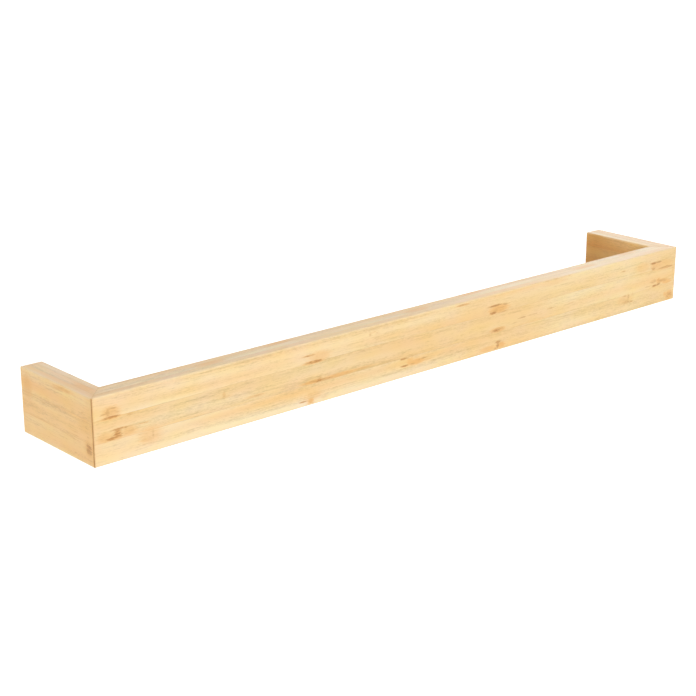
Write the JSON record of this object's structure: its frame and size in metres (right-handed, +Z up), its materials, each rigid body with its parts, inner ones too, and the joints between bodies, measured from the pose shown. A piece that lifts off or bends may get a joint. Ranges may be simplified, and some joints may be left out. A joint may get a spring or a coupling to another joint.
{
  "type": "towel bar",
  "caption": "Wall towel bar of laminated bamboo boards, a flat rail between two short arms with mitred corners, hung on keyhole plates let into the arms' wall ends.",
  "frame": {"origin": "in the wall's surface, halfway along the bar and halfway up the boards", "axes": "+X along the rail to its right end, +Y from the rail towards the wall, +Z up"},
  "size_m": [0.636, 0.093, 0.05],
  "materials": {
    "bamboo_rail": "satin clear lacquer on pale laminated bamboo, fine grain along the board, darker nodes about every 200 mm",
    "bamboo_arm": "satin clear lacquer on pale laminated bamboo, fine grain along the board",
    "beech_dowel": "plain beech, fluted",
    "zinc_steel": "zinc-plated pressed steel",
    "screw_steel": "zinc-plated screw"
  },
  "bodies": {
    "root": {"front_rail": "bamboo_rail", "left_arm": "bamboo_arm", "right_arm": "bamboo_arm", "left_upper_dowel": "beech_dowel", "left_lower_dowel": "beech_dowel", "right_upper_dowel": "beech_dowel", "right_lower_dowel": "beech_dowel", "left_hanger_plate": "zinc_steel", "right_hanger_plate": "zinc_steel", "left_upper_plate_screw": "screw_steel", "left_lower_plate_screw": "screw_steel", "right_upper_plate_screw": "screw_steel", "right_lower_plate_screw": "screw_steel"}
  },
  "joints": []
}
